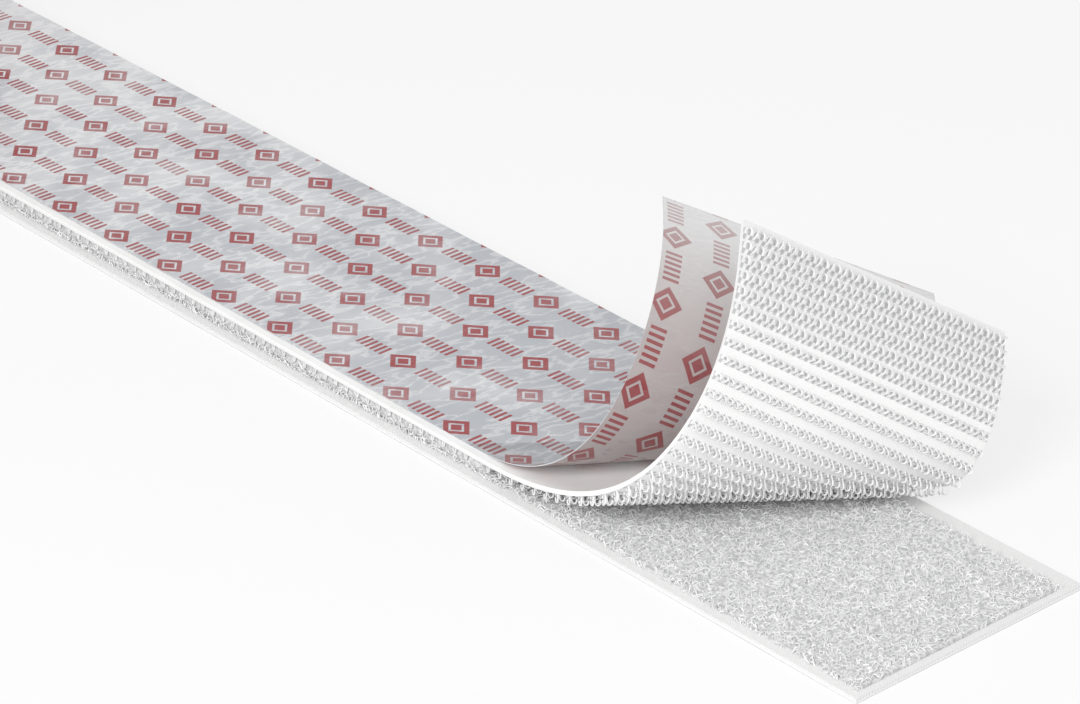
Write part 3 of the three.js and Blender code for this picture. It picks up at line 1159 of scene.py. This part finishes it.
@dataclass
class SubAssembly:
    """A part of the tape that is built and dressed together."""

    sizes: TapeSizes
    finishes: Finishes

    def _seat(self, piece: Piece, slot: Slot, *nodes: str) -> Piece:
        """Lets a piece ride on the wound tape in place of CAD nodes.

        Args:
            piece: The piece.
            slot: A slot of the record, which is not used.
            nodes: CAD nodes that it stands for.

        Returns:
            The piece.
        """
        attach(piece, ROOT)
        if nodes:
            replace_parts(piece, *nodes)
        return piece

    def _lay(
        self, layer: Layer, strip: StripSurface, step: float = FLAT_STEP, peeled: bool = False
    ) -> Piece:
        """Builds a layer of the wound tape.

        Args:
            layer: The layer.
            strip: The strip that it follows.
            step: Length of a row on the flat run.
            peeled: True where a peeled piece carries it on, so that its end stays open.

        Returns:
            The piece.
        """
        draft = MeshDraft()
        draft.sweep(strip, strip.rows(step), layer.band, first=True, last=not peeled)
        return self._seat(draft.to_object(layer.name, layer.materials), layer.slot, layer.node)


@dataclass
class CardCore(SubAssembly):
    """The card tube that the tape is wound on, with slightly rounded rims."""

    sides: int = 128
    lip: float = 0.35 * MM

    def build(self) -> list[Piece]:
        """Turns the tube.

        Returns:
            The core.
        """
        sizes, lip, end = self.sizes, self.lip, self.sizes.width / 2
        inner, outer = sizes.core_bore / 2, sizes.core_radius
        outline = [
            (inner, lip - end), (inner, end - lip), (inner + lip, end), (outer - lip, end),
            (outer, end - lip), (outer, lip - end), (outer - lip, -end), (inner + lip, -end),
        ]
        turns = np.linspace(0, TURN, self.sides + 1)[:, None]
        radius, y = (np.broadcast_to(column, (len(turns), len(outline))) for column in zip(*outline))
        x, z = sizes.roll_x + radius * np.cos(turns), sizes.roll_radius + radius * np.sin(turns)
        run = np.broadcast_to(turns * outer, x.shape)
        draft = MeshDraft()
        draft.skin(draft.keep(np.stack([x, y, z], -1), np.stack([run, y + radius], -1)))
        return [self._seat(draft.to_object("core", [self.finishes.card]), Slot.CARD, "core_tube")]


@dataclass(kw_only=True)
class Pile(SubAssembly):
    """The pile of the loop half: fine loops on a ragged foot, painted dark grey as the shade among them.

    The sizes of the loops are drawn between two limits. Along the edges of the pile the loops are lower and
    splay out, and between the two halves the hooks pull them up.
    """

    peel: PeelSizes
    seed: int = 11
    density: float = 2.3e6
    thread: float = 0.09 * MM
    thread_sides: int = 3
    loop_points: int = 8
    loop_span: Span = (0.7 * MM, 2.1 * MM)
    loop_height: Span = (0.5, 1.0)
    loop_lean: Span = (0.0, 0.55 * MM)
    loop_curl: Span = (0.08 * MM, 0.34 * MM)
    curl_waves: Span = (0.7, 1.8)
    any_heading: Span = (0.0, TURN)
    arch_power: float = 0.7
    root: float = 0.1 * MM
    edge_depth: float = 1.6 * MM
    edge_crowding: float = 1.8
    edge_height: float = 0.6
    edge_rise: float = 1.5
    spill: float = 0.5 * MM
    overhang: float = 0.2 * MM
    splay_depth: float = 1.5 * MM
    splay: float = 0.6 * MM
    splay_share: Span = (0.2, 1.0)
    pulled_height: float = 2.7 * MM
    under_flap: float = 6 * MM
    foot_height: float = 0.45
    foot_inset: float = 0.3 * MM
    foot_step: float = 1.2 * MM
    foot_columns: int = 48
    foot_ripple: Ripple = Ripple(11, waves=40)

    def __post_init__(self) -> None:
        """Sets up the strip, the limits of the pile and the random draws."""
        self.strip = StripSurface(self.sizes, lambda y: self.sizes.free_end_x)
        self.near, self.far, self.end = self.sizes.pile_near, self.sizes.pile_far, self.sizes.pile_end
        self.rng = np.random.default_rng(self.seed)

    def _scatter(self, area: float, along: Span, across: Span) -> tuple[Array, Array]:
        """Random places along and across a rectangle, as many as an area holds."""
        count = int(area * self.density)
        return self.rng.uniform(*along, count), self.rng.uniform(*across, count)

    def _flat_rows(self, x: Array) -> Array:
        """Rows of the strip at places along the table."""
        return (x - self.sizes.roll_x) / self.sizes.flat_length

    def _loops(self, name: str, rows: Array, y: Array, tallest: float) -> Piece:
        """Builds curled loops at places of the strip.

        Args:
            name: Name of the piece.
            rows: Rows of the strip.
            y: Places across it.
            tallest: Height of the tallest loop.

        Returns:
            The piece.
        """
        limits = (
            self.any_heading, self.loop_span, self.loop_height, self.loop_lean, self.any_heading,
            self.loop_curl, self.curl_waves, self.any_heading, self.splay_share,
        )
        heading, span, height, lean, lean_heading, curl, waves, phase, splay = (
            self.rng.uniform(low, high, (len(rows), 1)) for low, high in limits
        )
        places = self.strip.places(rows, y)
        middle = (self.near + self.far) / 2
        from_edge = self.far + self.spill - middle - np.abs(y - middle)
        tops = np.minimum(tallest, self.edge_height * self.sizes.pile + self.edge_rise * from_edge)
        outward = np.clip(1 - from_edge / self.splay_depth, 0, 1) * np.sign(y - middle)
        t = np.linspace(0, 1, self.loop_points)
        arch = np.sin(math.pi * t) ** self.arch_power
        forward, sideways = span * (t - 0.5), curl * np.sin(TURN * waves * t + phase) * arch
        cosine, sine = np.cos(heading), np.sin(heading)
        along = forward * cosine - sideways * sine + lean * arch * np.cos(lean_heading)
        across = forward * sine + sideways * cosine + lean * arch * np.sin(lean_heading)
        across = across + outward[:, None] * splay * self.splay * arch
        reach = self.spill + self.overhang
        across = np.clip(across + y[:, None], self.near - reach, self.far + reach) - y[:, None]
        along = np.minimum(along, (self.end - places.point[:, 0])[:, None])
        up = self.sizes.pile_z + self.root + (height * tops[:, None] - self.root - self.thread) * arch
        draft = MeshDraft()
        lateral = places.across * cosine - places.along * sine
        draft.tubes(places.beside(along, across, up), lateral, self.thread, self.thread_sides)
        return self._seat(draft.to_object(name, [self.finishes.pile]), Slot.PILE)

    def _foot(self) -> Piece:
        """Builds the ragged foot that the loops stand in, painted dark grey as shade.

        Returns:
            The piece.
        """
        low, near, far = self.sizes.pile_z, self.near + self.foot_inset, self.far - self.foot_inset
        high = low + self.foot_height * self.sizes.pile
        band = Band(low, high, near, far, self.foot_columns, lift=self.foot_ripple.lift)
        layer = Layer("pile_foot_shade", "loop_pile", Slot.PILE, [self.finishes.pile_foot_shade], band)
        return self._lay(layer, StripSurface(self.sizes, lambda y: self.end), self.foot_step)

    def build(self) -> list[Piece]:
        """Builds the foot, and the loops of the bare end, of the strip's edges and of the roll's edges.

        Returns:
            The pieces.
        """
        near, far, depth = self.near - self.spill, self.far + self.spill, self.edge_depth
        middle, crowded = (near + far) / 2, depth * self.edge_crowding
        halves = {"near": (near, middle), "far": (middle, far)}
        edges = {"near": (near, near + depth), "far": (far - depth, far)}
        bare_start = float(self.peel.run_in_x(near)) - self.under_flap
        pieces = [self._foot()]
        for side, across in halves.items():
            area = (self.end - bare_start) * (across[1] - across[0])
            x, y = self._scatter(area, (bare_start, self.end), across)
            bare = x > self.peel.run_in_x(y) - self.under_flap
            rows = self._flat_rows(x[bare])
            pieces.append(self._loops(f"bare_loops_{side}", rows, y[bare], self.sizes.pile))
        for side, across in edges.items():
            x, y = self._scatter(self.sizes.flat_length * crowded, (self.sizes.roll_x, self.end), across)
            covered = x <= self.peel.run_in_x(y) - self.under_flap
            rows = self._flat_rows(x[covered])
            pieces.append(self._loops(f"edge_loops_{side}", rows, y[covered], self.pulled_height))
        for side, across in edges.items():
            turns, y = self._scatter(self.strip.wound_length * crowded, (0.0, self.strip.core_end), across)
            pieces.append(self._loops(f"roll_loops_{side}", -turns, y, self.pulled_height))
        return pieces


@dataclass(kw_only=True)
class LoopTape(SubAssembly):
    """The loop half: release film, adhesive, woven backing and pile."""

    pile: Pile

    def build(self) -> list[Piece]:
        """Builds the layers and the pile.

        Returns:
            The pieces.
        """
        sizes, made = self.sizes, self.finishes
        edges = (sizes.loop_near, sizes.loop_far)
        film_band = Band(0.0, sizes.film, *edges, bulge=0.0, faces=Faces.OUTER_BELOW)
        coat_band = Band(sizes.film, sizes.loop_backing_z, *edges, COAT_COLUMNS, bulge=0.0)
        ground_band = Band(sizes.loop_backing_z, sizes.pile_z, *edges)
        layers = (
            Layer("loop_film_sheet", "loop_film", Slot.FILM, made.film_set, film_band),
            Layer("loop_adhesive_coat", "loop_adhesive", Slot.ADHESIVE, [made.adhesive], coat_band),
            Layer("loop_ground", "loop_backing", Slot.WOVEN, [made.selvedge], ground_band),
        )
        strip = StripSurface(sizes, lambda y: sizes.free_end_x)
        film, coat, ground = (self._lay(layer, strip) for layer in layers)
        pile = self.pile.build()
        return [film, coat, ground, *pile]


@dataclass(kw_only=True)
class PeeledSheet(SubAssembly):
    """The peeled end of a sheet, in pieces that each bend at one fold."""

    peel: PeelSizes
    bodies: tuple[str, ...]
    row_step: float = 0.3 * MM
    columns: int = 26

    def __post_init__(self) -> None:
        """Sets up the bent sheet."""
        self.surface = PeeledSurface(self.peel)

    def _bend(self, piece: Piece, index: int, slot: Slot, node: str) -> Piece:
        """Puts a piece in place of a CAD node, with its transform baked.

        Args:
            piece: The piece.
            index: Number of its fold, from 0.
            slot: A slot of the record, which is not used.
            node: CAD node that it stands for.

        Returns:
            The piece.
        """
        start, end = self.surface.fold_zone(index)
        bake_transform(piece)
        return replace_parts(piece, node)

    def _lay_bent(self, layer: Layer, index: int) -> Piece:
        """Builds one piece of a bent layer, closed only at the free end.

        Args:
            layer: The layer.
            index: Number of its fold, from 0.

        Returns:
            The piece.
        """
        start, end = self.peel.borders[index : index + 2]
        rows = np.linspace(start, end, math.ceil((end - start) * self.peel.length / self.row_step) + 1)
        draft = MeshDraft()
        draft.sweep(self.surface, rows, layer.band, first=False, last=end == 1)
        return self._bend(draft.to_object(layer.name, layer.materials), index, layer.slot, layer.node)


@dataclass(kw_only=True)
class PeeledHookTape(PeeledSheet):
    """The end of the hook half that is peeled up, with its hooks and its adhesive."""

    hooks: HookShape
    bodies: tuple[str, ...] = (ROOT, "hook_tape_1", "hook_tape_2", "hook_tape_3", "hook_tape_4")

    def _hooks(self, index: int) -> Piece:
        """Builds the hooks of one piece.

        Args:
            index: Number of its fold, from 0.

        Returns:
            The hooks.
        """
        draft = MeshDraft()
        start, end = self.peel.borders[index : index + 2]
        for column, y in enumerate(self.hooks.lines):
            rows = self.surface.rows_at(self.hooks.rows, y)
            rows = rows[(rows >= start) & (rows < end)]
            if len(rows):
                self.hooks.add(draft, self.surface.places(rows, y), -self.sizes.backing / 2, column)
        piece = draft.to_object(f"flap_hooks_{index + 1}", [self.finishes.hooks])
        return self._bend(piece, index, Slot.HOOKS, f"hook_flap_{index + 1}")

    def build(self) -> list[Piece]:
        """Builds the backing, its adhesive and its hooks, piece by piece.

        Returns:
            The pieces.
        """
        sizes, half, pieces = self.sizes, self.sizes.backing / 2, []
        edges, ground, coat = (sizes.hook_near, sizes.hook_far), "flap_ground", "flap_adhesive"
        ground_band = Band(-half, half, *edges, self.columns, faces=Faces.ROOTS_BELOW)
        coat_band = Band(half, half + sizes.adhesive, *edges, self.columns, bulge=0.0)
        woven, adhesive = [self.finishes.woven, self.finishes.rooted], [self.finishes.adhesive]
        for index in range(len(self.bodies) - 1):
            end = f"_{index + 1}"
            layers = (
                Layer(ground + end, "hook_flap" + end, Slot.WOVEN, woven, ground_band),
                Layer(coat + end, "hook_flap_adhesive" + end, Slot.ADHESIVE, adhesive, coat_band),
            )
            pieces += [self._lay_bent(layer, index) for layer in layers]
            pieces.append(self._hooks(index))
        return pieces


@dataclass(kw_only=True)
class HookTape(SubAssembly):
    """The hook half: hooks, woven backing and adhesive, pressed on the loops up to its peeled end.

    Only the hooks of the outer columns show. A slab stands for the others, where they mesh with the loops,
    painted dark grey as the shade there.
    """

    peeled: PeeledHookTape
    near_columns: int = 1
    far_columns: int = 4
    wound_radius: float = 35 * MM
    meshed_height: float = 0.4
    meshed_spill: float = 0.1 * MM
    meshed_columns: int = 6

    def __post_init__(self) -> None:
        """Sets up the strip."""
        self.end_x = self.peeled.peel.run_in_x
        self.strip = StripSurface(self.sizes, self.end_x)

    def _edge_hooks(self) -> Piece:
        """Builds the hooks of the outer columns, which show between the two halves.

        Returns:
            The piece.
        """
        draft, hooks, roll_x = MeshDraft(), self.peeled.hooks, self.sizes.roll_x
        turns = np.arange(0.0, self.strip.core_end, hooks.row_pitch / (TURN * self.wound_radius))
        columns = range(hooks.columns)
        for column in [*columns[: self.near_columns], *columns[-self.far_columns :]]:
            y = hooks.lines[column]
            end = float(self.end_x(y))
            x = hooks.rows[hooks.rows < end - hooks.end_margin]
            rows = np.concatenate([(x - roll_x) / (end - roll_x), -turns])
            hooks.add(draft, self.strip.places(rows, y), self.sizes.hook_backing_z, column)
        return self._seat(draft.to_object("edge_hooks", [self.finishes.hooks]), Slot.HOOKS, "hook_field")

    def build(self) -> list[Piece]:
        """Builds the layers and the peeled end.

        Returns:
            The pieces.
        """
        sizes, made, strip = self.sizes, self.finishes, self.strip
        edges = (sizes.hook_near, sizes.hook_far)
        meshed_edges = (sizes.pile_near - self.meshed_spill, sizes.pile_far)
        meshed_low = sizes.pile_z + self.meshed_height * sizes.pile
        meshed_band = Band(meshed_low, sizes.hook_backing_z, *meshed_edges, self.meshed_columns)
        ground_band = Band(sizes.hook_backing_z, sizes.hook_adhesive_z, *edges)
        coat_band = Band(sizes.hook_adhesive_z, sizes.hook_film_z, *edges, COAT_COLUMNS, bulge=0.0)
        # The slab takes the painted shade finish of the pile's foot.
        meshed_layer = Layer("meshed_hooks", "hook_field", Slot.HOOKS, [made.pile_foot_shade], meshed_band)
        ground_layer = Layer("hook_ground", "hook_backing", Slot.WOVEN, [made.woven], ground_band)
        coat_layer = Layer("hook_adhesive_coat", "hook_adhesive", Slot.ADHESIVE, [made.adhesive], coat_band)
        meshed = self._lay(meshed_layer, strip)
        ground, coat = (self._lay(layer, strip, peeled=True) for layer in (ground_layer, coat_layer))
        rest = [coat, meshed, self._edge_hooks(), *self.peeled.build()]
        return [ground, *rest]


@dataclass(kw_only=True)
class PeeledFilm(PeeledSheet):
    """The end of the release film that is peeled off."""

    bodies: tuple[str, ...] = (ROOT, "film_1", "film_2", "film_3")

    def build(self) -> list[Piece]:
        """Builds the film piece by piece.

        Returns:
            The pieces.
        """
        half, edges = self.sizes.film / 2, (self.sizes.film_near, self.sizes.hook_far)
        band = Band(-half, half, *edges, self.columns, bulge=0.0, faces=Faces.OUTER_ABOVE)
        materials, pieces = self.finishes.loose_film_set, []
        for index in range(len(self.bodies) - 1):
            layer = Layer(f"loose_film_{index + 1}", f"film_flap_{index + 1}", Slot.FILM, materials, band)
            pieces.append(self._lay_bent(layer, index))
        return pieces


@dataclass(kw_only=True)
class TopFilm(SubAssembly):
    """The printed release film, which lies on the hook half up to its peeled end."""

    peeled: PeeledFilm
    ripple: Ripple = Ripple(5)
    fade: float = 12 * MM
    step: float = 1.6 * MM
    columns: int = 34

    def _lift(self, u: Array, v: Array) -> Array:
        """Heights of ripples that fade out at the roll and at the lift-off line.

        Args:
            u: Places along the tape.
            v: Places across it.

        Returns:
            The heights.
        """
        to_line = np.clip((self.peeled.peel.run_in_x(v) - u) / self.fade, 0, 1)
        to_roll = np.clip((u - self.sizes.roll_x) / self.fade, 0, 1)
        return self.ripple.lift(u, v) * to_line * to_roll

    def build(self) -> list[Piece]:
        """Builds the film and its peeled end.

        Returns:
            The pieces.
        """
        sizes, peel = self.sizes, self.peeled.peel
        band = Band(
            sizes.hook_film_z, sizes.stack, sizes.film_near, sizes.hook_far,
            self.columns, bulge=0.0, faces=Faces.OUTER_ABOVE, lift=self._lift,
        )
        layer = Layer("hook_film_sheet", "hook_film", Slot.FILM, self.finishes.film_set, band)
        strip = StripSurface(sizes, peel.run_in_x)
        film = self._lay(layer, strip, self.step, peeled=True)
        rest = self.peeled.build()
        flat = (peel.width, strip.wound_length + peel.lift_x + peel.length - sizes.roll_x)
        return [film, *rest]


@dataclass(frozen=True)
class Lamp:
    """A square lamp that faces the object: the way from the object to it, its side and its power."""

    name: str
    back: Point
    side: float
    power: float

    def hang(self, target: Point) -> None:
        """Hangs the lamp.

        Args:
            target: What it lights.
        """
        data = bpy.data.lights.new(self.name, "AREA")
        data.energy = self.power
        data.size = self.side
        aimed(self.name, data, target, Vector(self.back))


@dataclass(frozen=True)
class Studio:
    """White floor, soft light and the camera at the photograph's angle."""

    azimuth: float = math.radians(48.44)
    elevation: float = math.radians(28.41)
    distance: float = 788.5 * MM
    target: Point = (44.89 * MM, 13.37 * MM, 0.0)
    lens: float = 152.7
    sensor: float = 36.0
    clip_start: float = 10 * MM
    floor_size: float = 6.0
    floor_drop: float = 0.05 * MM
    floor_colour: Colour = (0.9, 0.9, 0.9)
    floor_roughness: float = 0.9
    floor_glow: float = 0.7
    sky_colour: Colour = (1.0, 1.0, 1.0)
    sky_light: float = 0.58
    lamps: tuple[Lamp, ...] = (
        Lamp("key", (0.3, -0.74, 0.6), side=0.4, power=4.6),
        Lamp("right", (0.68, -0.3, 0.66), side=0.5, power=1.6),
    )

    def _camera(self) -> None:
        """Sets up the camera."""
        data = bpy.data.cameras.new("camera")
        data.lens = self.lens
        data.sensor_width = self.sensor
        data.sensor_fit = "HORIZONTAL"
        data.clip_start = self.clip_start
        level, rise = math.cos(self.elevation), math.sin(self.elevation)
        back = Vector((math.sin(self.azimuth) * level, -math.cos(self.azimuth) * level, rise))
        bpy.context.scene.camera = aimed("camera", data, self.target, back, self.distance)

    def _floor(self) -> None:
        """Lays a pale floor that looks white and keeps the object's shadow."""
        half = self.floor_size / 2
        mesh = bpy.data.meshes.new("floor")
        corners = [(-half, -half, 0), (half, -half, 0), (half, half, 0), (-half, half, 0)]
        mesh.from_pydata(corners, [], [range(len(corners))])
        draft = MaterialDraft("floor_white")
        draft.shade(Base_Color=self.floor_colour, Roughness=self.floor_roughness, Specular_IOR_Level=0.0)
        plain, glow = Value(draft, draft.shader.outputs[0]), draft.value("Emission", {})
        mix = draft.value("MixShader", {0: draft.white_seen() * self.floor_glow, 1: plain, 2: glow})
        draft.fill(draft.tree.nodes["Material Output"], {"Surface": mix})
        mesh.materials.append(draft.material)
        floor = linked("floor", mesh)
        floor.location.z = -self.floor_drop

    def _lights(self) -> None:
        """Hangs the lamps under a pale sky that looks white."""
        world = bpy.data.worlds.new("sky")
        world.use_nodes = True
        draft = NodeDraft(world.node_tree)
        strength = draft.white_seen() * (1.0 - self.sky_light) + self.sky_light
        draft.fill(draft.tree.nodes["Background"], {"Color": self.sky_colour, "Strength": strength})
        bpy.context.scene.world = world
        for lamp in self.lamps:
            lamp.hang(self.target)

    def build(self) -> None:
        """Sets up camera, floor and light."""
        bpy.context.scene.view_settings.view_transform = "Standard"
        self._camera()
        self._floor()
        self._lights()


def hook_peel(sizes: TapeSizes) -> PeelSizes:
    """Sizes of the peeled hook half.

    Args:
        sizes: Sizes of the tape.

    Returns:
        The sizes.
    """
    length = 61 * MM
    return PeelSizes(
        lift_x=sizes.free_end_x - length,
        centre_y=(sizes.hook_near + sizes.hook_far) / 2,
        z=sizes.hook_backing_z + sizes.backing / 2,
        width=sizes.width,
        length=length,
        lead=52 * MM,
        bends=(59, 140, 227, 189, 94.5, 0),
        lead_shares=(1, 0.55, 0.24, 0.08, 0),
        cuts=(0, 0.15, 0.32, 0.55, 1),
    )


def film_peel(sizes: TapeSizes, hook: PeelSizes) -> PeelSizes:
    """Sizes of the peeled film, which lifts off behind the hook half and ends short of it.

    Args:
        sizes: Sizes of the tape.
        hook: Sizes of the peeled hook half.

    Returns:
        The sizes.
    """
    lift_behind, end_short = 9 * MM, 8 * MM
    return PeelSizes(
        lift_x=hook.lift_x - lift_behind,
        centre_y=(sizes.film_near + sizes.hook_far) / 2,
        z=sizes.hook_film_z + sizes.film / 2,
        width=sizes.hook_far - sizes.film_near,
        length=hook.length + lift_behind - end_short,
        lead=39 * MM,
        bends=(142, 234, 240, 178, 87, 0),
        lead_shares=(1, 0.58, 0.36, 0.1, 0),
        cuts=(0, 0.34, 0.62, 1),
    )


def main() -> None:
    """Builds the studio and every sub-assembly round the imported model."""
    logging.basicConfig(level=logging.INFO, format="%(name)s: %(message)s")
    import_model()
    sizes = TapeSizes()
    hooks = HookShape(sizes)
    hook = hook_peel(sizes)
    Studio().build()
    made = Finishes(hooks)
    assemblies = [
        CardCore(sizes, made),
        LoopTape(sizes, made, pile=Pile(sizes, made, peel=hook)),
        HookTape(sizes, made, peeled=PeeledHookTape(sizes, made, peel=hook, hooks=hooks)),
        TopFilm(sizes, made, peeled=PeeledFilm(sizes, made, peel=film_peel(sizes, hook))),
    ]
    for assembly in assemblies:
        for piece in assembly.build():
            LOG.info("%s: %s, %d faces", type(assembly).__name__, piece.name, len(piece.data.polygons))


if __name__ == "__main__":
    main()
